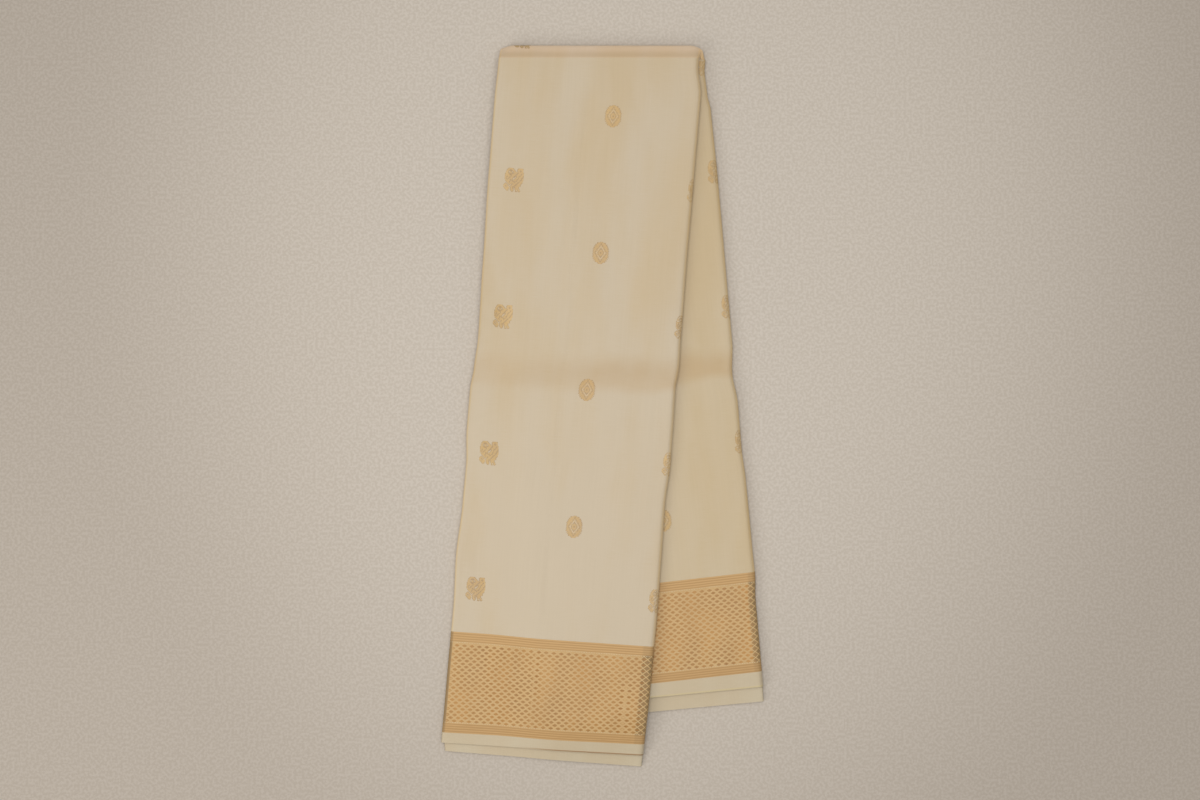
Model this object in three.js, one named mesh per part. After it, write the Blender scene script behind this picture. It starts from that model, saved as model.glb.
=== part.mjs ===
// A silk saree, folded lengthwise into a narrow stack of thirty-two layers, then once across its width.
// It lies flat, seen from above: the back leg on the surface, the front leg on the back leg, the fold at +Y.
// Millimetres, +Z up. The origin is on the surface, under the middle of the whole outline.
import * as THREE from "three";

// Driving dimensions
const foldReach = 313.8; // from the origin to the outermost line of the cross fold
const stackWidth = 177; // one leg across, from side fold to side fold
const legThickness = 8.6; // thirty-two layers of silk with the air between them
const clothWall = 1; // the outermost cloth that shows
const seamGap = 0.3; // between neighbouring pieces, and between the two legs
const noseDepth = 12.5; // how far the cross fold reaches past the straight legs
const cornerRound = 3; // how much the nose draws back at its two ends
const cornerRun = 14; // over this much of the fold's width
const dropStart = 9; // the front leg starts to sink this far outside the back leg
const dropRun = 56; // and lies on the surface after this much more
const hemInset = 3.4; // the lower layers of a hem are this much narrower on each side
const hemRidge = 0.35; // how far single layers stand out of a cut edge
const foldTurnEnd = 165; // degrees round the cross fold that its outermost cloth is shown for
const creaseRise = 25; // length of the steep side of the crease left by earlier folding
const creaseFall = 62; // length of its gentle side
const sideTuck = 250; // degrees round the open side's upper fold that its outermost cloth is shown for
const noseTuck = -80; // and round the closed side, from level
const backEdgeInset = 0.6; // the back leg's upper cloth ends this far inside its hidden edge
const ridgeHeights = [0.22, 0.3, 0.48]; // the open side's smaller folds, as shares of half the thickness
const ridgeInsets = [1.5, 1.0, 0.5]; // how far each of them stays back
const grooveDepth = 1.1; // the groove between the two halves of the open side
const grooveWidth = 0.3;
const coreTuck = 262; // degrees round the open side's upper fold, under the cloth
const coreEdgeBack = 1.2; // the hidden layers' last whole section stays this far behind the hem

// How finely the pieces are divided
const acrossSteps = 9;
const turnSteps = 9;
const sideFoldSteps = 5;
const noseSteps = 7;
const stepsPerRidge = 3;
const upperLevels = 4;
const borderSteps = 3;
const fieldSteps = { beforeCrease: 6, overCrease: 6, afterCrease: 4 };

const silk = { color: 0xcfbb96, roughness: 0.55, metalness: 0.0 };
const zari = { color: 0xc99f5c, roughness: 0.42, metalness: 0.35 };
const innerSilk = { color: 0xc8b48f, roughness: 0.7, metalness: 0.0 };

// Where each leg lies. "down" is the distance below the fold's outermost line, at the leg's left and right edge.
// "wander" gives how far each edge strays to the right of a straight line, and the crease's peak is at x = 0.
const front = {
  lean: -4.75,
  left: -89.2,
  right: 87.4,
  crease: { peak: 16.5, slope: -0.034, height: 1.3, heightAtLeft: 0.7 },
  creaseStart: { left: 268, right: 279 },
  creaseEnd: { left: 330, right: 341 },
  borderTop: { left: 511.3, right: 524.7 },
  borderEnd: { left: 598.1, right: 608.5 },
  hem: { left: 607.1, right: 618.1 },
  lowerHem: { left: 615.3, right: 627.6 },
  wander: [
    { down: 0, left: 0, right: -2.0 },
    { down: 50, left: -1.0, right: 0.4 },
    { down: 120, left: -0.4, right: 0.3 },
    { down: 190, left: 1.0, right: 0 },
    { down: 256, left: 1.5, right: 0.4 },
    { down: 281, left: 0, right: 1.9 },
    { down: 300, left: -1.7, right: 0 },
    { down: 335, left: -1.9, right: 0.2 },
    { down: 366, left: 0, right: 0.5 },
    { down: 400, left: 0.3, right: -1.2 },
    { down: 490, left: 1.2, right: 1.0 },
    { down: 552, left: 1.0, right: 0.4 },
    { down: 620, left: -0.9, right: -0.5 },
  ],
};
const back = {
  lean: 5.2,
  left: -88.4,
  right: 88.2,
  crease: { peak: 15.5, slope: 0.1, height: 1.2, heightAtLeft: 1.2 },
  creaseStart: { left: 280, right: 263 },
  creaseEnd: { left: 342, right: 325 },
  borderTop: { left: 478.8, right: 458.6 },
  borderEnd: { left: 565, right: 545 },
  hem: { left: 575.1, right: 557.6 },
  lowerHem: { left: 588, right: 571.5 },
  wander: [
    { down: 0, left: 0, right: 0.6 },
    { down: 49, left: 0, right: -2.0 },
    { down: 106, left: 0, right: 0.4 },
    { down: 223, left: 0, right: 1.8 },
    { down: 258, left: 0, right: 1.8 },
    { down: 287, left: 0, right: -0.7 },
    { down: 312, left: 0, right: 1.8 },
    { down: 366, left: 0, right: 0.7 },
    { down: 459, left: 0, right: -0.5 },
    { down: 545, left: 0, right: 1.4 },
    { down: 590, left: 0, right: 1.4 },
  ],
};

const straightStart = { left: noseDepth, right: noseDepth };
const noseRadius = (legThickness - seamGap) / 2;
const sideFoldRadius = legThickness / 4;
const coverDepth = clothWall + seamGap;
const halfThickness = legThickness / 2;
const creaseAcross = [-110, 20]; // a crease grows to its full height between these places in x
const radians = THREE.MathUtils.degToRad;
const mix = THREE.MathUtils.lerp;
const ease = THREE.MathUtils.smoothstep;

// How far an edge strays from its straight line, eased between the rows of the leg's table.
function wanderAt(leg, side, down) {
  const next = leg.wander.findIndex((row) => row.down > down);
  if (next < 1) return leg.wander.at(next === 0 ? 0 : -1)[side];
  const [a, b] = [leg.wander[next - 1], leg.wander[next]];
  return mix(a[side], b[side], ease(down, a.down, b.down));
}

function edgeX(leg, side, down) {
  return leg[side] + Math.tan(radians(leg.lean)) * down + wanderAt(leg, side, down);
}

// A point of the plan: a line across the leg goes from its left to its right edge, v millimetres from the left.
function planPoint(leg, line, v) {
  const across = v / stackWidth;
  const x = mix(edgeX(leg, "left", line.left), edgeX(leg, "right", line.right), across);
  const y = foldReach - mix(line.left, line.right, across);
  return { x, y };
}

function lineBetween(a, b, share) {
  return { left: mix(a.left, b.left, share), right: mix(a.right, b.right, share) };
}

function shifted(line, by) {
  return { left: line.left + by, right: line.right + by };
}

// The crease across each leg: steep towards the fold, gentle towards the hem.
function creaseHeight(leg, x, y) {
  const { peak, slope, height, heightAtLeft } = leg.crease;
  const past = peak + slope * x - y;
  const full = mix(heightAtLeft, height, ease(x, ...creaseAcross));
  return full * ease(past, -creaseRise, 0) * (1 - ease(past, 0, creaseFall));
}

// Height of the front leg's underside: on the back leg, and sinking to the surface beside and beyond it.
function frontBase(x, y) {
  const down = foldReach - y;
  const besideLeft = edgeX(back, "left", down) - x;
  const hemShare = (x - edgeX(back, "left", back.hem.left)) / stackWidth;
  const beyondHem = down - mix(back.hem.left, back.hem.right, hemShare);
  const outside = Math.hypot(Math.max(0, besideLeft), Math.max(0, beyondHem));
  const sunk = ease(outside, dropStart, dropStart + dropRun);
  return (legThickness + seamGap + creaseHeight(back, x, y)) * (1 - sunk);
}

// Places in the three stretches. h is the height over the leg's underside; in the fold it is the same distance
// from the inner face of the turn.
function placeFront(line, v, h) {
  const { x, y } = planPoint(front, line, v);
  const crease = creaseHeight(front, x, y) * (h / legThickness);
  return new THREE.Vector3(x, y, frontBase(x, y) + h + crease);
}

function placeBack(line, v, h) {
  const { x, y } = planPoint(back, line, v);
  return new THREE.Vector3(x, y, h + creaseHeight(back, x, y) * (h / legThickness));
}

function placeTurn(degrees, v, h) {
  const turn = radians(degrees);
  const top = planPoint(front, straightStart, v);
  const bottom = planPoint(back, straightStart, v);
  const fromEnd = Math.min(v, stackWidth - v);
  const drawnBack = cornerRound * (1 - ease(fromEnd, 0, cornerRun));
  const reach = noseDepth - legThickness + h - drawnBack * (h / legThickness);
  return new THREE.Vector3(
    mix(top.x, bottom.x, degrees / 180),
    foldReach - noseDepth + reach * Math.sin(turn),
    legThickness + seamGap / 2 + (seamGap / 2 + h) * Math.cos(turn),
  );
}

// The closed skin of a block of nu by nv by nw cells, with place(i, j, k) for each point on it.
function blockSkin(nu, nv, nw, place) {
  const points = new Map();
  const corners = [];
  const at = (i, j, k) => {
    const key = (i * (nv + 1) + j) * (nw + 1) + k;
    if (!points.has(key)) points.set(key, place(i, j, k));
    return points.get(key);
  };
  const quad = (a, b, c, d) => corners.push(a, b, c, a, c, d);
  for (let i = 0; i < nu; i += 1) {
    for (let j = 0; j < nv; j += 1) {
      quad(at(i, j, nw), at(i + 1, j, nw), at(i + 1, j + 1, nw), at(i, j + 1, nw));
      quad(at(i, j, 0), at(i, j + 1, 0), at(i + 1, j + 1, 0), at(i + 1, j, 0));
    }
    for (let k = 0; k < nw; k += 1) {
      quad(at(i, 0, k), at(i + 1, 0, k), at(i + 1, 0, k + 1), at(i, 0, k + 1));
      quad(at(i, nv, k), at(i, nv, k + 1), at(i + 1, nv, k + 1), at(i + 1, nv, k));
    }
  }
  for (let j = 0; j < nv; j += 1) {
    for (let k = 0; k < nw; k += 1) {
      quad(at(0, j, k), at(0, j, k + 1), at(0, j + 1, k + 1), at(0, j + 1, k));
      quad(at(nu, j, k), at(nu, j + 1, k), at(nu, j + 1, k + 1), at(nu, j, k + 1));
    }
  }
  return facingOut(corners);
}

// A geometry from corner points, turned round if its faces point inwards.
function facingOut(corners) {
  let volume = 0;
  for (let n = 0; n < corners.length; n += 3) {
    volume += corners[n].dot(new THREE.Vector3().crossVectors(corners[n + 1], corners[n + 2]));
  }
  const ordered = volume < 0 ? corners.slice().reverse() : corners;
  const geometry = new THREE.BufferGeometry().setFromPoints(ordered);
  geometry.computeVertexNormals();
  return geometry;
}

function arc(centre, radius, from, to, steps) {
  return Array.from({ length: steps + 1 }, (_, n) => {
    const angle = radians(mix(from, to, n / steps));
    return { v: centre.v + radius * Math.cos(angle), h: centre.h + radius * Math.sin(angle) };
  });
}

// The section of the cloth that shows, at a depth under its outer face: round the open side's upper fold,
// across the top, and round the closed side fold down to just above what the leg lies on.
function coverSection(depth, wrapsLeft) {
  const top = legThickness - depth;
  const leftFold = { v: sideFoldRadius, h: legThickness - sideFoldRadius };
  const rightFold = { v: stackWidth - noseRadius, h: legThickness - noseRadius };
  const wrapped = arc(leftFold, sideFoldRadius - depth, sideTuck, 90, sideFoldSteps);
  const flat = [
    { v: backEdgeInset, h: top },
    { v: sideFoldRadius, h: top },
  ];
  const right = arc(rightFold, noseRadius - depth, 90, noseTuck, noseSteps);
  const middle = Array.from({ length: acrossSteps - 1 }, (_, n) => ({
    v: mix(leftFold.v, rightFold.v, (n + 1) / acrossSteps),
    h: top,
  }));
  return [...(wrapsLeft ? wrapped : flat), ...middle, ...right];
}

// A stretch of the cloth that shows: a wall that follows the section at each station along the leg.
function coverCloth(stations, place, wrapsLeft) {
  const outer = coverSection(0, wrapsLeft);
  const inner = coverSection(clothWall, wrapsLeft);
  return blockSkin(stations.length - 1, outer.length - 1, 1, (i, j, k) => {
    const { v, h } = k === 0 ? outer[j] : inner[j];
    return place(stations[i], v, h);
  });
}

function linesFrom(a, b, steps) {
  return Array.from({ length: steps + 1 }, (_, n) => lineBetween(a, b, n / steps));
}

// Lines across a leg, close together over the crease.
function fieldLines(leg) {
  const { beforeCrease, overCrease, afterCrease } = fieldSteps;
  const start = linesFrom(shifted(straightStart, seamGap), leg.creaseStart, beforeCrease);
  const crease = linesFrom(leg.creaseStart, leg.creaseEnd, overCrease);
  const rest = linesFrom(leg.creaseEnd, shifted(leg.borderTop, -seamGap / 2), afterCrease);
  return [...start, ...crease.slice(1), ...rest.slice(1)];
}

function borderLines(leg) {
  return linesFrom(shifted(leg.borderTop, seamGap / 2), shifted(leg.borderEnd, -seamGap / 2), borderSteps);
}

function selvedgeLines(leg) {
  return linesFrom(shifted(leg.borderEnd, seamGap / 2), leg.hem, 1);
}

const turnStations = Array.from({ length: turnSteps + 1 }, (_, n) => (foldTurnEnd * n) / turnSteps);

// The hidden layers. Their levels run from the inner face of the cross fold (first) to its outer face (last).
// Under a cover the levels keep clear of it; a face with no cover is flush with the leg's own face.
const lowerLevels = ridgeHeights.length * stepsPerRidge;
const levels = lowerLevels + 1 + upperLevels;

// The open side: three smaller folds in the half next to the inner face, one large fold in the other half.
function openSide(innerCover, outerCover) {
  const start = innerCover * coverDepth;
  const side = [{ v: sideFoldRadius, w: start }];
  let from = start;
  ridgeHeights.forEach((share, n) => {
    const height = share * (halfThickness - start);
    const inset = ridgeInsets[n] + height / 2;
    for (let step = 1; step <= stepsPerRidge; step += 1) {
      const bulge = Math.sin((Math.PI * step) / stepsPerRidge) * (height / 2);
      side.push({ v: inset - bulge, w: from + height * (step / stepsPerRidge) });
    }
    from += height;
  });
  side.at(-1).v += grooveDepth;
  side.at(-1).w -= grooveWidth;
  const centre = { v: sideFoldRadius, h: legThickness - sideFoldRadius };
  const fold = arc(centre, sideFoldRadius - outerCover * coverDepth, coreTuck, 90, upperLevels);
  return [...side, ...fold.map(({ v, h }) => ({ v, w: h }))];
}

// The closed side: one nose through the whole thickness, always under the cloth that wraps it.
function closedSide(innerCover, outerCover) {
  const middle = halfThickness + (seamGap / 2) * (outerCover - innerCover);
  const radius = noseRadius - coverDepth;
  const centre = { v: stackWidth - noseRadius, h: middle };
  const step = centre.v - 2 * seamGap;
  const lower = arc(centre, radius, -90, 0, innerCover ? lowerLevels : lowerLevels - 2);
  const upper = arc(centre, radius, 90 / noseSteps, 90, outerCover ? upperLevels : upperLevels - 1);
  const foot = { v: step - seamGap, w: 0 };
  const footTop = { v: step, w: middle - radius };
  const head = { v: step - seamGap, w: legThickness };
  const wall = [...lower, ...upper].map(({ v, h }) => ({ v, w: h }));
  return [...(innerCover ? [] : [foot, footTop]), ...wall, ...(outerCover ? [] : [head])];
}

// How far a level's cut end stands out: single layers alternate.
function cutEdge(level) {
  return level % 2 === 0 ? hemRidge : -hemRidge;
}

function legLines(leg) {
  const border = linesFrom(leg.borderTop, leg.borderEnd, borderSteps);
  return [...fieldLines(leg), ...border.slice(1), shifted(leg.hem, -coreEdgeBack)];
}

// The stations run from the front hem, up the front leg, round the fold and down the back leg to its hem.
function hiddenLayers() {
  const stations = [
    { leg: "front", line: front.hem, cut: true },
    ...legLines(front).reverse().map((line) => ({ leg: "front", line })),
    ...turnStations.map((degrees) => ({ leg: "turn", degrees })),
    { leg: "turn", degrees: mix(foldTurnEnd, 180, 0.2), open: true },
    { leg: "turn", degrees: 180, open: true },
    ...legLines(back).map((line) => ({ leg: "back", line })),
    { leg: "back", line: back.hem, cut: true },
  ];
  return blockSkin(stations.length - 1, acrossSteps, levels, (i, j, k) => layerPoint(stations[i], j, k));
}

function layerPoint(station, j, k) {
  const { leg, line, degrees, open, cut } = station;
  const innerCover = leg === "back" ? 1 : 0;
  const outerCover = leg === "back" || open ? 0 : 1;
  const a = openSide(innerCover, outerCover)[k];
  const b = closedSide(innerCover, outerCover)[k];
  const share = j / acrossSteps;
  const w = mix(a.w, b.w, share);
  const v = mix(a.v, b.v, share);
  if (leg === "turn") return placeTurn(degrees, v, w);
  const place = leg === "front" ? placeFront : placeBack;
  const where = leg === "front" ? front : back;
  const h = leg === "front" ? w : legThickness - w;
  // Counted up from the surface: the lower layers stand out past the hem, and the ledge level ends at its foot.
  const ledge = leg === "front" ? lowerLevels : lowerLevels + 1;
  const below = leg === "front" ? ledge - k : k - ledge;
  const lowered = below >= 0 && nearHem(line, where) ? Math.min(h, halfThickness - coverDepth) : h;
  const tuck = lowered < h ? 2 * seamGap : 0;
  if (!cut) return place(line, v + mix(tuck, -tuck, share), lowered);
  const inset = below > 0 ? mix(hemInset, -hemInset, share) : 0;
  const end = below > 0 ? where.lowerHem : shifted(where.hem, -hemRidge);
  return place(shifted(end, below === 0 ? 0 : cutEdge(k)), v + inset, lowered);
}

function nearHem(line, leg) {
  return line.left > leg.borderEnd.left + seamGap;
}

// The plain edge of the lower layers, which stands out beyond the upper hem.
function lowerHemCloth(stations, place) {
  return blockSkin(1, acrossSteps, 1, (i, j, k) => {
    const { line, inset } = stations[i];
    const share = j / acrossSteps;
    const v = mix(sideFoldRadius + inset, stackWidth - noseRadius - inset, share);
    return place(line, v, halfThickness - k * clothWall);
  });
}

function lowerHemStations(leg) {
  return [
    { line: shifted(leg.hem, seamGap), inset: seamGap },
    { line: leg.lowerHem, inset: hemInset },
  ];
}

function piece(name, geometry, finish) {
  const mesh = new THREE.Mesh(geometry, new THREE.MeshStandardMaterial(finish));
  mesh.name = name;
  return mesh;
}

const saree = new THREE.Group();
saree.add(
  piece("inner_layers", hiddenLayers(), innerSilk),
  piece("fold_turn", coverCloth(turnStations, placeTurn, true), silk),
  piece("front_field", coverCloth(fieldLines(front).reverse(), placeFront, true), silk),
  piece("front_border", coverCloth(borderLines(front).reverse(), placeFront, true), zari),
  piece("front_selvedge", coverCloth(selvedgeLines(front).reverse(), placeFront, true), silk),
  piece("front_lower_hem", lowerHemCloth(lowerHemStations(front).reverse(), placeFront), silk),
  piece("back_field", coverCloth(fieldLines(back), placeBack, false), silk),
  piece("back_border", coverCloth(borderLines(back), placeBack, false), zari),
  piece("back_selvedge", coverCloth(selvedgeLines(back), placeBack, false), silk),
  piece("back_lower_hem", lowerHemCloth(lowerHemStations(back), placeBack), silk),
);

export default saree;
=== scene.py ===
# A folded silk saree with a gold-thread border, seen from above.
# Plans and sections are in millimetres, as on a cutting table; meshes and cloth maps are in metres.
import math
import re

import bmesh
import bpy
import numpy as np
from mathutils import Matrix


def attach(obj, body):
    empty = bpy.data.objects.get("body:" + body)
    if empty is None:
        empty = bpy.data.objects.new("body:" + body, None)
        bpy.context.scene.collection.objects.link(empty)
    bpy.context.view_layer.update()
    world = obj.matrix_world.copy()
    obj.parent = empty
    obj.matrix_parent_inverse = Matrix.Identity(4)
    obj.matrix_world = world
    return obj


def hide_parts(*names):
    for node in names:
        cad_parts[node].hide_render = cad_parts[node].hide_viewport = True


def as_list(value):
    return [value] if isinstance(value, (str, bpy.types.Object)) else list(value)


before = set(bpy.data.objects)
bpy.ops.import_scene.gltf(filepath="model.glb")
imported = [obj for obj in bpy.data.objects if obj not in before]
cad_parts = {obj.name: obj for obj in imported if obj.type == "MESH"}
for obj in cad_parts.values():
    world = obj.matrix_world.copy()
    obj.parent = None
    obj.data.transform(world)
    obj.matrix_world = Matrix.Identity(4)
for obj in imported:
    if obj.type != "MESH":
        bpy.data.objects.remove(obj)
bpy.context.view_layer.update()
scene = bpy.context.scene
mm = 0.001
fullTurn = 2 * math.pi

# The plan of the folded cloth

stack = {
    "foldReach": 313.8,     # from the origin to the outermost line of the cross fold
    "width": 177.0,         # one leg across, from side fold to side fold
    "thickness": 8.6,       # one leg
    "gap": 0.3,             # between the two legs
    "noseDepth": 12.5,      # how far the cross fold reaches past the straight legs
    "noseShape": 1.45,      # 1 is a round nose, more is flatter with a sharper start
    "cornerRound": 2.4,     # the nose draws back this much at its two ends
    "cornerRun": 10.0,
    "dropStart": 9.0,       # the front leg starts to sink this far outside the back leg
    "dropRun": 56.0,
    "creaseRise": 25.0,     # steep side of the old cross crease
    "creaseFall": 62.0,     # its gentle side
    "creaseAcross": (-110, 20),  # along x, where it grows to its full height
    "creasedFrom": 0.35,    # small creases fade in from this share of a leg's thickness
    "creasedTo": 70,        # and are gone this many degrees round the cross fold
    "covered": (88, 30, 80),  # back leg: its middle, and how far from it the creases start and are full
}
foldReach, width, thickness, gap, noseDepth = list(stack.values())[:5]
noseRadius, sideRadius = (thickness - gap) / 2, thickness / 4

# Lines across a leg are (left, right): how far below the fold's outermost line they cross its two edges.
# Rows of wander are (down, left, right): how far each edge strays to the right there.
front = {
    "lean": -4.75,
    "left": -89.2,
    "right": 87.4,
    "crease": {"peak": 16.5, "slope": -0.034, "height": 1.3, "heightAtLeft": 0.7},
    "creaseStart": (268, 279),
    "creaseEnd": (330, 341),
    "borderTop": (511.6, 523.8),
    "borderEnd": (599.7, 609.7),
    "hem": (608.6, 619.8),
    "lowerHem": (616.6, 630.6),
    "wander": [
        (0, 0, -2.6), (18, -0.3, -2.6), (45, -1.0, 1.8), (120, -0.8, 1.8), (190, 0.4, 1.5), (256, 1.5, 2.0),
        (281, 0, 2.5), (300, -1.9, 0.9), (335, -2.0, 1.6), (366, 0, 2.0), (400, -0.2, 0.2),
        (445, -2.2, 0.9), (490, -0.8, 1.2), (552, -1.2, 0.7), (620, -1.6, -0.3),
    ],
}
back = {
    "lean": 5.2,
    "left": -88.4,
    "right": 88.2,
    "crease": {"peak": 15.5, "slope": 0.1, "height": 1.2, "heightAtLeft": 1.2},
    "creaseStart": (280, 263),
    "creaseEnd": (342, 325),
    "borderTop": (479.9, 459.6),
    "borderEnd": (566.1, 546.5),
    "hem": (577.2, 559.9),
    "lowerHem": (590, 573.4),
    "wander": [
        (0, 0, 2.6), (24, 0, -1.0), (42, 0, -0.4), (56, 0, 1.5), (106, 0, 2.1), (150, 0, 2.1),
        (223, 0, 1.8), (258, 0, 1.8), (287, 0, -0.7), (312, 0, 1.8), (353, 0, 1.5), (379, 0, 2.7),
        (440, 0, 2.9), (462, 0, 3.2), (485, 0, 1.6), (545, 0, 1.4), (590, 0, 1.4),
    ],
}
front["straightStart"] = back["straightStart"] = (noseDepth, noseDepth)
leftSide, rightSide = 1, 2  # columns of a row of wander


def mix(a, b, share):
    return a + (b - a) * share


def ease(x, start, end):
    t = np.clip((x - start) / (end - start), 0, 1)
    return t * t * (3 - 2 * t)


def lineMix(a, b, share):
    return mix(a[0], b[0], share), mix(a[1], b[1], share)


def shifted(line, by):
    return line[0] + by, line[1] + by


def wanderAt(leg, side, down):
    rows = leg["wander"]
    strays = np.full(np.shape(down), float(rows[0][side]))
    for a, b in zip(rows, rows[1:]):
        strays = np.where(down >= a[0], mix(a[side], b[side], ease(down, a[0], b[0])), strays)
    return strays


def edgeX(leg, side, down):
    start = leg["left"] if side == leftSide else leg["right"]
    return start + math.tan(math.radians(leg["lean"])) * down + wanderAt(leg, side, down)


def planPoint(leg, line, v):
    across = v / width
    x = mix(edgeX(leg, leftSide, line[0]), edgeX(leg, rightSide, line[1]), across)
    y = foldReach - mix(line[0], line[1], across)
    return x, y


def creaseHeight(leg, x, y):
    crease = leg["crease"]
    past = crease["peak"] + crease["slope"] * x - y
    full = mix(crease["heightAtLeft"], crease["height"], ease(x, *stack["creaseAcross"]))
    return full * ease(past, -stack["creaseRise"], 0) * (1 - ease(past, 0, stack["creaseFall"]))


def frontBase(x, y):  # height of the front leg's underside
    down = foldReach - y
    besideLeft = edgeX(back, leftSide, down) - x
    hemShare = (x - edgeX(back, leftSide, np.float64(back["hem"][0]))) / width
    beyondHem = down - mix(*back["hem"], hemShare)
    outside = np.hypot(np.maximum(0, besideLeft), np.maximum(0, beyondHem))
    sunk = ease(outside, stack["dropStart"], stack["dropStart"] + stack["dropRun"])
    return (thickness + gap + creaseHeight(back, x, y)) * (1 - sunk)


# Small creases, placed on the cloth map

# A crease is its width and a chain of (across, along, height); a trough's height is negative.
front["creases"] = [
    (1.6, [
        (77, 20, 0.12), (76.5, 45, 0.42), (76, 90, 0.38), (76.5, 105, 0.08), (76, 130, 0.34),
        (76, 165, 0.38), (76.5, 190, 0.06), (76.5, 225, 0.30), (76, 262, 0.32), (76.5, 300, 0.08),
        (76, 345, 0.20), (75, 372, 0.36), (76, 398, 0.12), (76, 440, 0.18), (76, 478, 0.36),
        (76.5, 505, 0.14), (76, 545, 0.30), (76.5, 575, 0.32), (77, 612, 0.12),
    ]),
    (3.4, [(79, 30, -0.10), (79, 160, -0.14), (79, 300, -0.08), (79, 470, -0.12), (79, 600, -0.08)]),
    (1.5, [(157, 548, 0.0), (156, 560, 0.34), (155, 590, 0.38), (156, 606, 0.12)]),
    (2.6, [(152, 552, 0.0), (152, 590, -0.16), (152, 606, 0.0)]),
    (2.2, [(6, 326, 0.0), (14, 331, 0.26), (24, 329, 0.05)]),
    (2.6, [(14, 336, -0.22), (23, 335, -0.10)]),
    (2.0, [(176, 282, 0.0), (168, 288, 0.30), (158, 290, 0.0)]),
    (3.0, [(10, 503, 0.0), (18, 508, 0.20), (27, 507, 0.0)]),
    (1.4, [(20, 22, 0.16), (21, 60, 0.10), (20, 110, 0.0)]),
    (1.4, [(170.5, 20, 0.10), (171.5, 150, 0.14), (171, 330, 0.12), (171.5, 500, 0.10), (171, 612, 0.12)]),
]
back["creases"] = [
    (2.0, [(176, 262, 0.0), (170, 268, 0.34), (162, 271, 0.10), (154, 272, 0.0)]),
    (2.4, [(172, 276, -0.20), (160, 279, -0.12)]),
    (1.4, [(171.5, 30, 0.12), (171, 220, 0.16), (171.5, 420, 0.12), (171, 560, 0.10)]),
    (1.6, [(76, 40, 0.16), (76, 200, 0.24), (76, 360, 0.12), (76, 520, 0.22)]),
]
# Slack is long low waves: (height, length across, length along, phase)
front["slack"] = [(0.22, 92, 260, 0.4), (0.16, 61, 175, 2.1), (0.10, 47, 83, 4.4), (0.05, 23, 57, 1.3)]
back["slack"] = [(0.20, 84, 230, 1.9), (0.16, 57, 190, 0.2), (0.10, 43, 90, 3.3), (0.05, 25, 51, 5.2)]


def distanceToChain(across, along, chain):
    nearest = np.full(across.shape, 1e9)
    height = np.zeros(across.shape)
    for (u0, v0, h0), (u1, v1, h1) in zip(chain, chain[1:]):
        du, dv = u1 - u0, v1 - v0
        t = np.clip(((across - u0) * du + (along - v0) * dv) / (du * du + dv * dv), 0, 1)
        distance = np.hypot(across - u0 - t * du, along - v0 - t * dv)
        height = np.where(distance < nearest, mix(h0, h1, ease(t, 0, 1)), height)
        nearest = np.minimum(nearest, distance)
    return nearest, height


def reliefAt(leg, across, along):
    across, along = np.broadcast_arrays(across, along)
    relief = np.zeros(across.shape)
    for creaseWidth, chain in leg["creases"]:
        distance, height = distanceToChain(across, along, chain)
        relief += height * np.exp(-(distance / creaseWidth) ** 2)
    for height, lengthAcross, lengthAlong, phase in leg["slack"]:
        wave = np.sin(fullTurn * across / lengthAcross + phase)
        relief += height * (wave * np.sin(fullTurn * along / lengthAlong + 1.7 * phase))
    return relief


# Where a point of the cloth lies: v across the leg, h over its underside

def clothMap(leg, x, unfoldedY):  # distance along the cloth from the fold, measured down the leg's own axis
    lean = math.radians(leg["lean"])
    return x * math.sin(lean) + (foldReach - unfoldedY) * math.cos(lean)


def placeLeg(leg, line, v, h, across):
    x, y = planPoint(leg, line, v)
    along = clothMap(leg, x, y)
    share = h / thickness
    z = h + creaseHeight(leg, x, y) * share
    relief = reliefAt(leg, across, along) * ease(share, stack["creasedFrom"], 1.0)
    if leg is back:  # under the front leg it stays flat
        middle, flatTo, fullFrom = stack["covered"]
        return x, y, z + relief * ease(np.abs(across - middle), flatTo, fullFrom), along
    return x, y, z + frontBase(x, y) + relief, along


def turnProfile(degrees):
    turn = np.radians(degrees)
    power = stack["noseShape"]
    return np.sin(turn).clip(0, 1) ** power, np.sign(np.cos(turn)) * np.abs(np.cos(turn)) ** power


def placeTurn(degrees, v, h, across):
    topX, _ = planPoint(front, front["straightStart"], v)
    bottomX, _ = planPoint(back, back["straightStart"], v)
    out, up = turnProfile(degrees)
    fromEnd = np.minimum(v, width - v)
    drawnBack = stack["cornerRound"] * (1 - ease(fromEnd, 0, stack["cornerRun"]))
    reach = noseDepth - thickness + h - drawnBack * (h / thickness)
    x = mix(topX, bottomX, degrees / 180)
    y = foldReach - noseDepth + reach * out
    z = thickness + gap / 2 + (gap / 2 + h) * up
    unfolded = foldReach - noseDepth + turnArc(degrees)
    along = clothMap(front, x, unfolded)
    fade = (1 - ease(degrees, 0, stack["creasedTo"])) * ease(h / thickness, stack["creasedFrom"], 1.0)
    return x, y, z + reliefAt(front, across, along) * fade, along


def turnArc(degrees):  # length of the turn's outer face, from its upper end
    steps = np.linspace(0, 180, 181)
    out, up = turnProfile(steps)
    run = np.hypot(np.diff(out * noseDepth), np.diff(up * thickness))
    return np.interp(degrees, steps, np.concatenate([[0], np.cumsum(run)]))


# Sections across a leg: rows of (v, h, across), where across is the length along the cloth

cover = {
    "wall": 0.3,
    "cell": 2.1,
    "tuckLeft": 250, "leftSteps": 8,    # degrees to which the cloth wraps round each side
    "tuckRight": -80, "rightSteps": 12,
    "flatEdge": 0.6,                    # where it starts if it doesn't wrap round the left side
}


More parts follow.
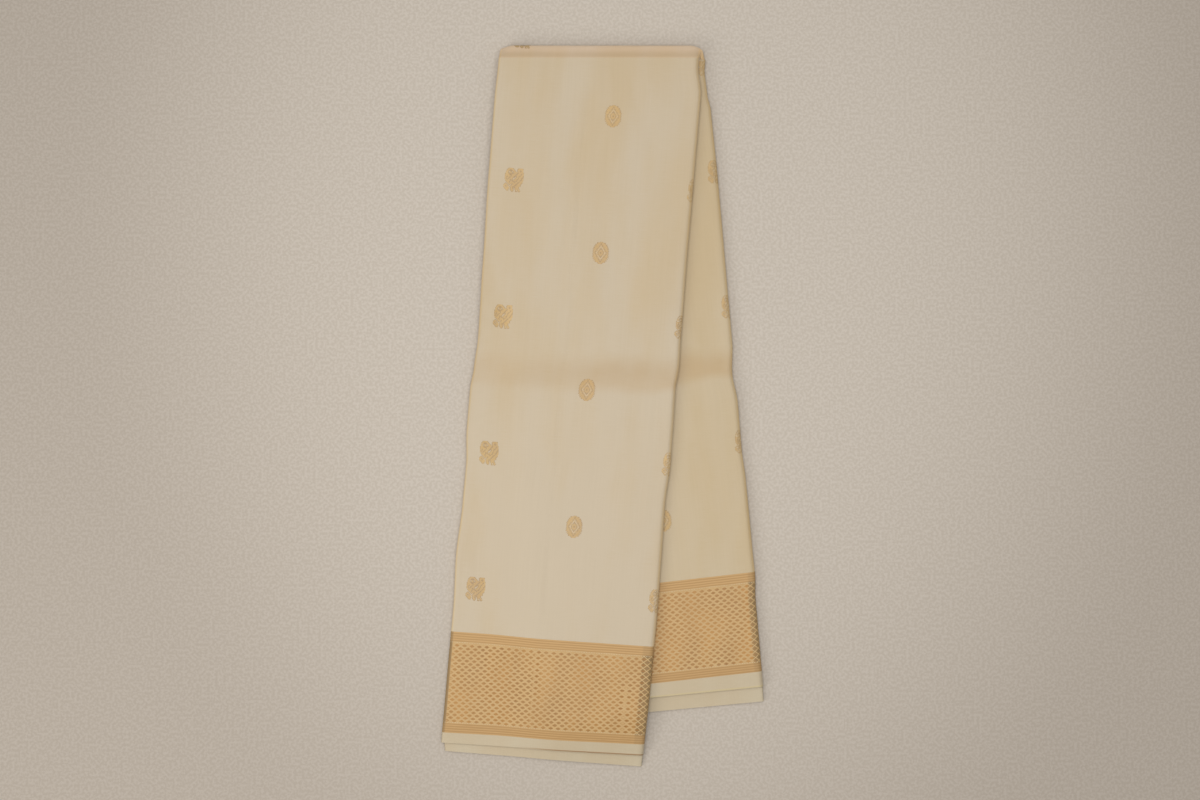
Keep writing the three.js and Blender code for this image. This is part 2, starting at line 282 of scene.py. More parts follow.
def bend(centre, radius, depth, top, angles):  # rows round one side of a leg
    reach, rows = radius - depth, []
    for angle in angles:
        turn = math.radians(angle)
        rows.append((centre + reach * math.cos(turn), top - reach + reach * math.sin(turn),
                     centre + radius * math.radians(90 - angle)))
    return rows


def coverSection(depth, wrapsLeft):
    top = thickness - depth
    side, nose = sideRadius, noseRadius
    rightV = width - nose
    if wrapsLeft:
        rows = bend(side, side, depth, top, np.linspace(cover["tuckLeft"], 90, cover["leftSteps"] + 1)[:-1])
    else:
        rows = [(cover["flatEdge"], top, cover["flatEdge"])]
    steps = round((rightV - side) / cover["cell"])
    rows += [(v, top, v) for v in np.linspace(side, rightV, steps + 1)[:-1]]
    rows += bend(rightV, nose, depth, top, np.linspace(90, cover["tuckRight"], cover["rightSteps"] + 1))
    return np.array(rows).T


def linesBetween(a, b, cell):
    steps = max(1, round(max(b[0] - a[0], b[1] - a[1]) / cell))
    return [lineMix(a, b, n / steps) for n in range(steps + 1)]


# Meshes

innerMapShift = 1000.0  # the inner skin's map lies a metre aside, so that nothing is laid on it


def placed(name, data):
    made = bpy.data.objects.new(name, data)
    scene.collection.objects.link(made)
    return made


def buildMesh(name, points, faces, finish, clothUvs=None, rimFaces=0):
    mesh = bpy.data.meshes.new(name)
    mesh.from_pydata((np.asarray(points) * mm).tolist(), [], faces)
    smooth = len(faces) - rimFaces  # flat rims, so that two pieces which abut show no line between them
    mesh.polygons.foreach_set("use_smooth", [True] * smooth + [False] * rimFaces)
    if clothUvs is not None:
        layer = mesh.uv_layers.new(name="clothMap")
        corners = np.empty(len(mesh.loops), dtype=np.int32)
        mesh.loops.foreach_get("vertex_index", corners)
        cornerUvs = np.asarray(clothUvs)[corners]
        if rimFaces:  # the wall between the two skins lies aside with the inner one
            rim = cornerUvs[-4 * rimFaces:, 0]
            rim[rim < innerMapShift / 2] += innerMapShift
        layer.uv.foreach_set("vector", (cornerUvs * mm).ravel())
    mesh.materials.append(finish)
    mesh.validate()
    return placed(name, mesh)


def gridFaces(rows, columns, start, flip):
    corners = [start + i * columns + j for i in range(rows - 1) for j in range(columns - 1)]
    quads = [(a, a + 1, a + columns + 1, a + columns) for a in corners]
    return [quad[::-1] for quad in quads] if flip else quads


def rimOf(rows, columns):  # the grid's border, in order round it
    top = list(range(columns))
    right = [i * columns + columns - 1 for i in range(1, rows)]
    bottom = [(rows - 1) * columns + j for j in range(columns - 2, -1, -1)]
    left = [i * columns for i in range(rows - 2, 0, -1)]
    return top + right + bottom + left


def shellFrom(name, outer, inner, finish):
    # outer and inner are grids of (x, y, z, across, along); rows run down the leg
    rows, columns = outer[0].shape
    size = rows * columns
    points = np.concatenate([np.stack(grid[:3], axis=-1).reshape(-1, 3) for grid in (outer, inner)])
    maps = [np.stack([grid[3] + shift, -grid[4]], axis=-1).reshape(-1, 2)
            for grid, shift in ((outer, 0), (inner, innerMapShift))]
    faces = gridFaces(rows, columns, 0, True) + gridFaces(rows, columns, size, False)
    rim = rimOf(rows, columns)
    for a, b in zip(rim, rim[1:] + rim[:1]):
        faces.append((a, b, b + size, a + size))
    return buildMesh(name, points, faces, finish, np.concatenate(maps), len(rim))


def gridOn(stations, section):  # a station is ("turn", degrees) or (leg, line)
    v, h, across = (row[None, :] for row in section)
    parts = []
    for kind, where in stations:
        if kind == "turn":
            x, y, z, along = placeTurn(where, v, h, across)
        else:
            x, y, z, along = placeLeg(kind, where, v, h, across)
        parts.append([np.broadcast_to(a, v.shape) for a in (x, y, z, across, along)])
    return [np.concatenate([p[n] for p in parts]) for n in range(5)]


def clothShell(name, stations, wrapsLeft, finish):
    grids = [gridOn(stations, coverSection(depth, wrapsLeft)) for depth in (0, cover["wall"])]
    return shellFrom(name, *grids, finish)


# Node trees: sockets are values, so that arithmetic on them adds Math nodes

class Value:
    def __init__(self, nodes, socket):
        self.nodes, self.socket = nodes, socket

    def math(self, operation, other=None, swapped=False):
        ends = [self] if other is None else [other, self] if swapped else [self, other]
        return self.nodes.node("ShaderNodeMath", dict(enumerate(ends)), operation=operation)

    def beside(self, output):  # another output of the same node
        return Value(self.nodes, self.socket.node.outputs[output])

    def __add__(self, other): return self.math("ADD", other)
    def __sub__(self, other): return self.math("SUBTRACT", other)
    def __rsub__(self, other): return self.math("SUBTRACT", other, True)
    def __mul__(self, other): return self.math("MULTIPLY", other)
    def __truediv__(self, other): return self.math("DIVIDE", other)
    def __abs__(self): return self.math("ABSOLUTE")


class Nodes:
    def node(self, kind, inputs=None, output=0, **settings):
        made = self.tree.nodes.new(kind)
        for name, value in settings.items():
            setattr(made, name, value)
        for name, value in (inputs or {}).items():
            if isinstance(value, Value):
                self.tree.links.new(value.socket, made.inputs[name])
            else:
                made.inputs[name].default_value = value
        return Value(self, made.outputs[output])

    def vector(self, operation, inputs):
        return self.node("ShaderNodeVectorMath", inputs, operation=operation)

    def split(self, vector):  # its x, y and z
        x = self.node("ShaderNodeSeparateXYZ", {0: vector}, "X")
        return x, x.beside("Y"), x.beside("Z")


class Finish(Nodes):
    def __init__(self, name, **constants):
        self.material = bpy.data.materials.new(name)
        self.material.use_nodes = True
        self.tree = self.material.node_tree
        self.shader = self.tree.nodes["Principled BSDF"]
        for socket, value in constants.items():
            self.shader.inputs[socket.replace("_", " ")].default_value = value

    def feed(self, socket, value):
        self.tree.links.new(value.socket, self.shader.inputs[socket])

    def clothPlace(self):  # the cloth map, and how far across and along it, in metres
        place = self.node("ShaderNodeUVMap", uv_map="clothMap")
        across, along, _ = self.split(place)
        return place, across, along * -1.0

    def objectPlace(self):
        return self.node("ShaderNodeTexCoord", None, "Object")

    def noise(self, place, scale, detail=2.0):  # scale is one number or a tuple of three
        if isinstance(scale, tuple):
            place, scale = self.vector("MULTIPLY", {0: place, 1: scale}), 1.0
        return self.node("ShaderNodeTexNoise", {"Vector": place, "Scale": scale, "Detail": detail}, "Fac")

    def blend(self, share, a, b, kind="MIX"):
        return self.node("ShaderNodeMix", {0: share, 6: a, 7: b}, 2, data_type="RGBA", blend_type=kind)

    def tinted(self, base, tint, share=1.0):
        return self.blend(share, base, tint, "MULTIPLY")

    def between(self, value, start, end):  # 0 below start, 1 above end
        return self.node("ShaderNodeMapRange", {"Value": value, "From Min": start, "From Max": end},
                         interpolation_type="SMOOTHSTEP")

    def past(self, value, line, soft):  # 0 before the line, 1 past it
        return self.between(value, line - soft, line + soft)

    def fade(self, value, start, end, a, b):  # from a to b as the value goes from start to end
        return self.blend(self.between(value, start, end), a, b)

    def bump(self, height, distance):
        self.feed("Normal", self.node("ShaderNodeBump", {"Height": height, "Distance": distance}))


def rgb(r, g, b):
    return (r, g, b, 1.0)


silkLook = {
    "threadPitch": 0.00042,
    "relief": 0.00005,
    "slubs": (70, 2400, 1), "streaks": (900, 14, 1), "bands": (22, 6, 1),  # noise scales across and along
    "fine": rgb(0.950, 0.945, 0.935),
    "pressed": rgb(0.930, 0.840, 0.715),   # painted shade: the old crease's steep side, which faces away from the light, is darkened
    "pressedFrom": (-0.030, -0.010), "pressedTo": (-0.004, 0.008),
    "foldNear": rgb(1.060, 0.995, 0.960),  # painted light and shade on the cross fold's nose: its start is tinted pinker and further out its colour is brightened, to lift the shade where it turns down
    "foldFar": rgb(1.530, 1.460, 1.540),   # and catches the light further out
    "edge": rgb(1.130, 1.060, 0.890),      # painted light: the side folds, where the cloth turns down, are brightened and made more golden
    "rightEdge": (0.1740, 0.1765),
}
frontTone = {
    "warm": rgb(0.508, 0.398, 0.250), "cool": rgb(0.522, 0.434, 0.312),
    "paler": 0.55,           # how much the cool tone gains by the hem
    "creaseFrom": (-0.070, 0.030), "creaseLeast": 0.45,  # along x, where the painted shade on the old crease deepens
}
backTone = {
    "warm": rgb(0.498, 0.384, 0.226), "cool": rgb(0.516, 0.418, 0.276),
    "paler": 0.30,
    "creaseFrom": (-0.200, -0.100), "creaseLeast": 1.0,
}
hemTone = {"warm": rgb(0.492, 0.402, 0.268), "cool": rgb(0.506, 0.432, 0.304)}
layerTone = {"warm": rgb(0.475, 0.370, 0.230), "cool": rgb(0.520, 0.420, 0.280)}


def silkFinish(name, tone, leg=None, roughness=0.46):
    finish = Finish(name, Roughness=roughness, Specular_IOR_Level=0.42, Sheen_Weight=0.22,
                    Sheen_Roughness=0.45, Sheen_Tint=rgb(1.0, 0.90, 0.72))
    place, across, along = finish.clothPlace()
    slubs = finish.noise(place, silkLook["slubs"], 3.0)
    streaks = finish.noise(place, silkLook["streaks"])
    bands = finish.noise(place, silkLook["bands"], 3.0)
    hue = bands + slubs * 0.2 + along * tone.get("paler", 0.0)
    base = finish.fade(hue, 0.48, 0.92, tone["warm"], tone["cool"])
    fine = finish.between(slubs * 0.5 + streaks * 0.5, 0.25, 0.75)
    base = finish.tinted(base, silkLook["fine"], 1 - fine * 0.8)
    if leg:
        here = finish.objectPlace()
        x, y, _ = finish.split(here)
        cloud = finish.noise(here, 16.0, 3.0) - 0.5
        # painted shade: a darker band on the old crease's steep side, where it faces away from the light
        fall = x * leg["crease"]["slope"] - y + leg["crease"]["peak"] * mm + cloud * 0.020
        steepShade = finish.between(fall, *silkLook["pressedFrom"])
        steepShade = steepShade * (1 - finish.between(fall, *silkLook["pressedTo"]))
        shadeStrength = finish.between(x, *tone["creaseFrom"]) * (1 - tone["creaseLeast"]) + tone["creaseLeast"]
        base = finish.tinted(base, silkLook["pressed"], steepShade * shadeStrength * (cloud * 1.2 + 0.80))
        # painted light and shade on the cross fold's nose: pinker where it starts to turn, brighter further
        # out
        nose = (foldReach - noseDepth) * mm
        fold = finish.fade(y, nose + 0.0015, nose + 0.0110, silkLook["foldNear"], silkLook["foldFar"])
        base = finish.tinted(base, fold, finish.between(y, nose - 0.0004, nose + 0.0006))
        # painted light on the side folds: brightened and more golden where the cloth turns down
        side = sideRadius * mm
        atSide = 1 - finish.between(across, side * 0.3, side * 1.1)
        atSide = atSide + finish.between(across, *silkLook["rightEdge"])
        base = finish.tinted(base, silkLook["edge"], atSide.math("MINIMUM", 1.0))
    finish.base = base
    finish.feed("Base Color", base)
    thread = fullTurn / silkLook["threadPitch"]
    weave = (across * thread).math("SINE") * (along * thread).math("SINE")
    finish.feed("Roughness", finish.between(slubs, 0.1, 0.9) * 0.10 + (roughness - 0.05))
    finish.bump(weave * 0.5 + slubs * 1.2, silkLook["relief"])
    return finish


def hemFinish(name, line, lineTone, reach):  # a line along the hem's own lower edge; on the front it is a painted shadow, where the upper hem overhangs the lower one
    finish = silkFinish(name, hemTone, None, 0.5)
    _, across, along = finish.clothPlace()
    share = finish.between(along, line[0] * mm, line[1] * mm)
    share = share * finish.between(across, reach[0] * mm, reach[1] * mm)
    finish.feed("Base Color", finish.blend(share, finish.base, lineTone))
    return finish.material


zariLook = {
    "ground": rgb(0.505, 0.322, 0.138),
    "dusk": rgb(0.468, 0.293, 0.124),
    "band": rgb(0.500, 0.312, 0.135),
    "bandLine": rgb(0.395, 0.235, 0.094),
    "pale": rgb(0.540, 0.425, 0.240),
    "bare": rgb(0.235, 0.155, 0.070),  # the ground is darker at the folded edges, between pale lines on the right; on the left, where the border turns down, the darkening is painted shade
    "barePale": rgb(0.590, 0.400, 0.185),
    "linePitch": 0.00205,
    "threads": (60, 1500, 1), "patches": (40, 17, 1),  # noise scales across and along
    "relief": 0.00006,
}
lattice = {  # the border's staggered lozenges, in millimetres
    "pitchAcross": 6.5,
    "pitchAlong": 5.2,
    "first": 11.6,         # first row of dots, from the border's upper edge
    "rows": 26,
    "bandDepth": 8.2,      # the plain gold band at each edge
    "depth": 86.9,
    "dot": (1.7, 3.2, 4.1, 3.2, 1.7),
    "threadPitch": 0.42,
    "threadHalf": 0.46,    # half a thread's width, in pitches
    "raise": 0.12,
    "tick": (-0.55, 0.55, -0.28, 0.28),  # a pale stitch beside the plain bands: its ends and sides
    "tickRaise": 0.10,
    "tickOff": 0.7,        # from the band to the line of ticks
    "oneStep": 9,          # longer than any of its threads, so each is one straight float
    "edgeFrom": 167.6,     # across the leg, where the darker edge begins
    "backEdgeShift": 2.6,  # and how much further right on the back leg
}


def zariGround(name, edgeFrom):
    look = zariLook
    finish = Finish(name, Roughness=0.62, Specular_IOR_Level=0.30)
    place, across, along = finish.clothPlace()
    threads = finish.noise(place, look["threads"])
    patches = finish.noise(place, look["patches"], 3.0)
    ribs = (along * (fullTurn / look["linePitch"])).math("SINE") * 0.5 + 0.5
    upperBand, lowerBand = lattice["bandDepth"] * mm, (lattice["depth"] - lattice["bandDepth"]) * mm
    inside = finish.past(along, upperBand, 0.0004) * (1 - finish.past(along, lowerBand, 0.0004))
    lower = finish.past(along, lowerBand, 0.001)
    a = across / (lattice["pitchAcross"] * mm)
    b = (along - lattice["first"] * mm) / (lattice["pitchAlong"] * mm)
    lineA = abs((a + b).math("FRACT") - 0.5)
    lineB = abs((a - b).math("FRACT") - 0.5)
    cross = 1 - finish.between(lineA.math("MINIMUM", lineB), 0.03, 0.13)
    atRight = finish.past(across, edgeFrom * mm, 0.0012)
    # painted shade: the left edge, where the border turns down round the side fold
    leftShade = 1 - finish.between(across, 0.0018, 0.0030)
    ground = finish.fade(patches + threads * 0.5, 0.55, 0.95, look["dusk"], look["ground"])
    ground = finish.blend(finish.between(threads, 0.52, 0.72) * 0.40, ground, look["pale"])
    laced = finish.blend(cross * 0.20, ground, look["pale"])
    edge = finish.blend(cross * 0.85, look["bare"], look["barePale"])
    laced = finish.blend(atRight * 0.9, laced, edge)
    laced = finish.blend(leftShade * 0.9, laced, look["bare"])
    banded = ribs * 0.7 + threads * 0.8 - lower * 0.25
    banded = finish.fade(banded, 0.30, 1.05, look["bandLine"], look["band"])
    banded = finish.blend(atRight * 0.25 + leftShade * 0.6, banded, look["bare"])
    finish.feed("Base Color", finish.blend(inside, banded, laced))
    finish.bump(ribs * (1 - inside) * 1.5 + threads * 1.5 + cross * 0.5, look["relief"])
    return finish.material


threadLooks = {  # where it catches the light, where it is worn, metallic, roughness
    "goldThread": (rgb(0.430, 0.208, 0.046), rgb(0.270, 0.126, 0.030), 0.15, 0.45),
    "darkThread": (rgb(0.200, 0.130, 0.048), rgb(0.130, 0.080, 0.030), 0.10, 0.5),
    "buttaThread": (rgb(0.530, 0.345, 0.122), rgb(0.440, 0.275, 0.098), 0.15, 0.45),
    "buttaEdge": (rgb(0.370, 0.228, 0.086), rgb(0.300, 0.180, 0.068), 0.10, 0.5),
    "paleThread": (rgb(0.560, 0.455, 0.290), rgb(0.480, 0.380, 0.230), 0.1, 0.5),
}


def zariThread(name):
    bright, worn, metallic, roughness = threadLooks[name]
    finish = Finish(name, Roughness=roughness, Metallic=metallic)
    place = finish.objectPlace()
    wear = finish.noise(place, (42, 18, 30), 3.0)
    twist = finish.noise(place, (1400, 5200, 1400), 1.0)
    finish.feed("Base Color", finish.fade(wear * 0.8 + twist * 0.4, 0.46, 0.76, worn, bright))
    finish.feed("Roughness", finish.between(twist, 0.2, 0.8) * 0.18 + (roughness - 0.08))
    finish.bump(twist, 0.00004)
    return finish.material


frontFieldSilk = silkFinish("frontFieldSilk", frontTone, front).material
backFieldSilk = silkFinish("backFieldSilk", backTone, back).material
# painted shadow: a dark brown line along the front hem's lower edge, over the lower hem
frontHemSilk = hemFinish("frontHemSilk", (8.3, 8.8), rgb(0.300, 0.185, 0.090), (60, 105))
backHemSilk = hemFinish("backHemSilk", (10.6, 11.1), rgb(0.500, 0.410, 0.240), (20, 60))
lowerHemSilk = silkFinish("lowerHemSilk", hemTone, None, 0.5).material
layerSilk = silkFinish("layerSilk", layerTone, None, 0.6).material
frontBorderGround = zariGround("frontBorderGround", lattice["edgeFrom"])
backBorderGround = zariGround("backBorderGround", lattice["edgeFrom"] + lattice["backEdgeShift"])
goldThread, darkThread, buttaThread, buttaEdge, paleThread = (zariThread(name) for name in threadLooks)
print("finishes made")


# The cloth that shows

cloth = {"cell": 2.1, "turnEnd": 176, "turnSteps": 18, "besideRim": 0.06}


def legStations(leg, start, end):
    # with a row close beside each rim, so that the rim's own slope stays out of the light
    tight = cloth["besideRim"]
    inner = linesBetween(start, end, cloth["cell"])[1:-1]
    return [(leg, line) for line in (start, shifted(start, tight), *inner, shifted(end, -tight), end)]


turnStations = [("turn", d) for d in np.linspace(cloth["turnEnd"], 0, cloth["turnSteps"] + 1)[:-1]]
frontStations = turnStations + legStations(front, front["straightStart"], front["borderTop"])
frontSilk = clothShell("frontSilk", frontStations, True, frontFieldSilk)
backStations = legStations(back, back["straightStart"], back["borderTop"])
backSilk = clothShell("backSilk", backStations, False, backFieldSilk)


def edgeShell(name, leg, start, end, finish):  # its map runs along from its own upper edge
    start, end = leg[start], leg[end]
    stations = legStations(leg, start, end)
    grids = [gridOn(stations, coverSection(depth, leg is front)) for depth in (0, cover["wall"])]
    for grid in grids:
        for row, (_, line) in enumerate(stations):
            grid[4][row, :] = ((line[0] - start[0]) + (line[1] - start[1])) / 2
    return shellFrom(name, *grids, finish)


frontBorder = edgeShell("frontBorder", front, "borderTop", "borderEnd", frontBorderGround)
backBorder = edgeShell("backBorder", back, "borderTop", "borderEnd", backBorderGround)
frontSelvedge = edgeShell("frontSelvedge", front, "borderEnd", "hem", frontHemSilk)
backSelvedge = edgeShell("backSelvedge", back, "borderEnd", "hem", backHemSilk)

lowerHem = {
    "under": 12,             # how far it reaches under the upper hem
    "top": 4.28,
    "wall": 0.2,
    "hidden": (5.6, 169.4),  # its ends across the leg where the upper hem covers it
    "shown": (2.4, 176.6),
    "inset": (1.3, 0.2),     # how much further in they are at its edge
    "roll": 1.6,
    "foot": 0.5,
    "hiddenSize": 0.03,      # of the roll, where it is hidden
    "widenFrom": -0.3, "widenTo": 0.05,  # past the upper hem, where the ends move out
    "columns": 80,
    "mapEnds": (2, 175),     # small creases are read no further out
}


def lowerHemRow(leg, line, depth, shown, run):
    # shown is 0 under the upper hem and 1 past it, where the ends roll down to the floor
    insetLeft, insetRight = (inset * run for inset in lowerHem["inset"])
    left = mix(lowerHem["hidden"][0], lowerHem["shown"][0] + insetLeft, shown)
    right = mix(lowerHem["hidden"][1], lowerHem["shown"][1] - insetRight, shown)
    size = mix(lowerHem["hiddenSize"], 1.0, shown)
    roll, foot = lowerHem["roll"] * size, lowerHem["top"] - lowerHem["foot"]
    turns = [math.radians(angle) for angle in (90, 60, 30, 0)]
    end = [(roll - (roll - depth) * math.cos(t), roll - (roll - depth) * math.sin(t)) for t in turns]
    end = [(end[-1][0], mix(roll, foot * size, share)) for share in (1.0, 0.5)] + end[::-1]
    inward, downward = np.array(end).T
    flat = np.linspace(left + roll, right - roll, lowerHem["columns"])[1:-1]
    v = np.concatenate([left + inward, flat, right - inward[::-1]])
    h = lowerHem["top"] - np.concatenate([downward, np.full(flat.shape, depth), downward[::-1]])
    x, y, z, along = placeLeg(leg, line, v[None, :], h[None, :], np.clip(v, *lowerHem["mapEnds"])[None, :])
    return x, y, z, np.broadcast_to(v, x.shape), along


def lowerHemShell(name, leg):
    start, end = (shifted(leg["hem"], by) for by in (-lowerHem["under"], lowerHem["widenFrom"]))
    hidden = legStations(leg, start, end)
    stations = hidden[:-1] + legStations(leg, leg["hem"], leg["lowerHem"])[1:]
    reach = leg["lowerHem"][0] - leg["hem"][0]
    grids = []
    for depth in (0, lowerHem["wall"]):
        rows = []
        for _, line in stations:
            past = line[0] - leg["hem"][0]
            shown = float(ease(past, lowerHem["widenFrom"], lowerHem["widenTo"]))
            rows.append(lowerHemRow(leg, line, depth, shown, min(1.0, max(0.0, past / reach))))
        grids.append([np.concatenate([row[n] for row in rows]) for n in range(5)])
    return shellFrom(name, *grids, lowerHemSilk), spans(grids[0])


def spans(grid):  # a grid's mean lengths across and along
    points = np.stack(grid[:3], axis=-1)
    lengths = [np.linalg.norm(np.diff(points, axis=axis), axis=-1).sum(axis=axis) for axis in (1, 0)]
    return tuple(float(length.mean()) * mm for length in lengths)


frontLowerHem, frontLowerCut = lowerHemShell("frontLowerHem", front)
backLowerHem, backLowerCut = lowerHemShell("backLowerHem", back)
print("outer cloths made")


# The layers inside: one cloth that doubles back on itself thirty-one times

layers = {
    "count": 32,
    "clothThickness": 0.15,
    "lowerHalf": (0.45, 4.10),   # heights that the two halves fill, from the turn's inner face
    "upperHalf": (4.45, 8.08),
    "settle": 0.3,               # the layer next to the leg's own underside lies this much lower
    "closedV": 172.1,            # centre of the closed side's noses
    "openV": {16: 2.45, 8: 1.6, 4: 1.6, 2: 1.7},  # centres of the open side's folds
    "freeEnds": (1.6, 2.0),
    "noseSteps": 5,
    "hemInset": (3.4, -2.4),     # how far the lower layers' two ends draw in at the hem
    "hemShort": 0.85,            # how far the layers stop short of the hem, on average
    "stagger": 0.35,             # and how much that varies from layer to layer
    "hemRows": (0.35, 0.7, 1.0),
}


half = layers["count"] // 2


def layerHeight(layer):
    low, high = layers["lowerHalf"] if layer < half else layers["upperHalf"]
    return mix(low, high, (layer % half + 0.5) / half)


def openPartner(layer):  # the layer that this one turns into at the open side
    group = 1 << (layer.bit_length() - 1)
    return (3 * group - 1 - layer, group) if layer > 1 else (None, None)


def foldedPath(stepsAcross, sideOfNoses):
    # rows of (v, w, lower): lower is 1 in the half next to the turn's inner face
    path, layer, goesRight = [], 0, True
    leftV = layers["freeEnds"][0]
    while True:
        height, lower = layerHeight(layer), float(layer < half)
        if goesRight:
            partner, centreV = layers["count"] - 1 - layer, layers["closedV"]
        else:
            partner, group = openPartner(layer)
            centreV = layers["openV"][group] if group else layers["freeEnds"][1]
        ends = (leftV, centreV) if goesRight else (layers["closedV"], centreV)
        path += [(v, height, lower) for v in np.linspace(*ends, stepsAcross + 1)]
        if partner is None:
            return np.array(path)
        partnerHeight, partnerLower = layerHeight(partner), float(partner < half)
        middle, radius = (height + partnerHeight) / 2, (partnerHeight - height) / 2
        for n in range(1, layers["noseSteps"]):
            turn = math.pi * n / layers["noseSteps"]
            reach = abs(radius) * math.sin(turn) * (1 if goesRight else -1)
            path.append((centreV + reach, middle - radius * math.cos(turn), sideOfNoses(lower, partnerLower)))
        leftV = centreV if not goesRight else leftV
        layer, goesRight = partner, not goesRight


def thickened(path, thickness):  # a closed loop round the path
    middle, lower = path[:, :2], path[:, 2]
    direction = np.gradient(middle, axis=0)
    direction /= np.linalg.norm(direction, axis=1)[:, None]
    normal = np.stack([-direction[:, 1], direction[:, 0]], axis=1) * thickness / 2
    side = np.concatenate([middle + normal, (middle - normal)[::-1]])
    return np.column_stack([side, np.concatenate([lower, lower[::-1]])])


def hemLine(leg, lower, stagger):
    return shifted(lineMix(leg["hem"], leg["lowerHem"], lower), -stagger)


def settledHeight(h):
    return h - layers["settle"] * np.maximum(0, 1 - h / (thickness / 2))


def layerRow(station, loop, stagger):
    kind, where, hemShare = station
    v, w, lower = loop.T
    if kind == "turn":
        w = mix(settledHeight(w), thickness - settledHeight(thickness - w), where / 180)
        return placeTurn(where, v, w, v)[:3]
    h = settledHeight(w if kind is front else thickness - w)
    lowerLayers = lower if kind is front else 1 - lower
    line = where
    if hemShare > 0:
        line = lineMix(where, hemLine(kind, lowerLayers, stagger), hemShare)
        drawnLeft, drawnRight = layers["hemInset"]
        v = v + mix(drawnLeft, -drawnRight, v / width) * lowerLayers * hemShare
    return placeLeg(kind, line, v, h, v)[:3]


def legRows(leg, *cells):  # how far apart the rows are before, over and after the old crease
    ends = [leg[key] for key in ("straightStart", "creaseStart", "creaseEnd", "borderEnd")]
    lines = [ends[0]]
    for start, end, cell in zip(ends, ends[1:], cells):
        lines += linesBetween(start, end, cell)[1:]
    return [(leg, line, 0) for line in lines] + [(leg, ends[-1], share) for share in layers["hemRows"]]


def layerStack(name, stations, stepsAcross, sideOfNoses):
    # sideOfNoses is min or max: which half the closed side's noses end with
    path = foldedPath(stepsAcross, sideOfNoses)
    loop = thickened(path, layers["clothThickness"])
    count, size = len(path), 2 * len(path)
    length = np.concatenate([[0], np.cumsum(np.linalg.norm(np.diff(path[:, :2], axis=0), axis=1))])
    across = np.concatenate([length, length[::-1]])
    stagger = layers["hemShort"] + layers["stagger"] * np.sin(across / width * 2.4)
    rows = [np.stack(np.broadcast_arrays(*layerRow(s, loop, stagger)), axis=-1) for s in stations]
    last = (len(stations) - 1) * size
    sides = [(i + j, i + (j + 1) % size) for i in range(0, last, size) for j in range(size)]
    faces = [(a, b, b + size, a + size) for a, b in sides]
    for j in range(count - 1):  # the two cut ends
        k = size - 1 - j
        faces.append((j, k, k - 1, j + 1))
        faces.append((last + j, last + j + 1, last + k - 1, last + k))
    middles = np.array([row.mean(axis=0) for row in rows])
    along = np.concatenate([[0], np.cumsum(np.linalg.norm(np.diff(middles, axis=0), axis=1))])
    maps = np.stack([np.tile(across, len(stations)), np.repeat(along, size)], axis=-1)
    made = buildMesh(name, np.concatenate(rows), faces, layerSilk, maps)
    print(name, len(faces), "faces, cloth", round(length[-1]), "by", round(along[-1]), "mm")
    return made, (float(length[-1]) * mm, float(along[-1]) * mm)


turnRows = [("turn", degrees, 0) for degrees in (0, 18, 36, 54, 72, 90, 108, 126, 144, 162)]
frontLayers, frontLayersCut = layerStack("frontLayers", legRows(front, 22, 10, 9.5)[::-1], 16, min)
backLayers, backLayersCut = layerStack("backLayers", turnRows + legRows(back, 19, 10, 19), 12, max)


# Woven figures: short raised threads, laid on the cloth by its map

thread = {"inset": 0.15, "endShare": 0.45, "sunk": -0.05}
butta = {"cellAcross": 0.65, "cellAlong": 0.69, "threadShare": 0.92, "raise": 0.13, "step": 2.0}


def threadRun(points, faces, x0, x1, y0, y1, raised, step):
    # one float of thread from x0 to x1: a low ridge that dips at its two ends
    inset, sunk = min(thread["inset"], (y1 - y0) / 4), thread["sunk"]
    xs = np.linspace(x0, x1, max(1, round((x1 - x0) / step)) + 1)
    start, last = len(points), len(points) + 4 * (len(xs) - 1)
    for x in xs:
        top = raised * (thread["endShare"] if x in (x0, x1) else 1.0)
        points += [(x, y0, sunk), (x, y0 + inset, top), (x, y1 - inset, top), (x, y1, sunk)]
    for a in range(start, last, 4):
        faces += [(a + n, a + 4 + n, a + 4 + (n + 1) % 4, a + (n + 1) % 4) for n in range(4)]
    faces.append((start, start + 1, start + 2, start + 3))
    faces.append((last + 3, last + 2, last + 1, last))


def motifFrom(name, runs, finish, raised, step):
    points, faces = [], []
    for run in runs:
        threadRun(points, faces, *run, raised, step)
    motif = buildMesh(name, points, faces, finish)
    motif.data.polygons.foreach_set("use_smooth", [False] * len(motif.data.polygons))
    motif.hide_render = True
    return motif


def chartRuns(chart, mark):  # a chart's rows run down; its middle is the motif's own origin
    width, height, pitch = len(chart[0]), len(chart), butta["cellAlong"]
    runs = []
    for row, line in enumerate(chart):
        top = (height / 2 - row) * pitch
        for found in re.finditer(re.escape(mark) + "+", line):
            left, right = ((column - width / 2) * butta["cellAcross"] for column in found.span())
            runs.append((left, right, top - pitch * butta["threadShare"], top))
    return runs


def lozengeRuns():
    pitch, middle = lattice["threadPitch"], (len(lattice["dot"]) - 1) / 2
    half = pitch * lattice["threadHalf"]
    rows = [((middle - n) * pitch, length / 2) for n, length in enumerate(lattice["dot"])]
    return [(-reach, reach, y - half, y + half) for y, reach in rows]


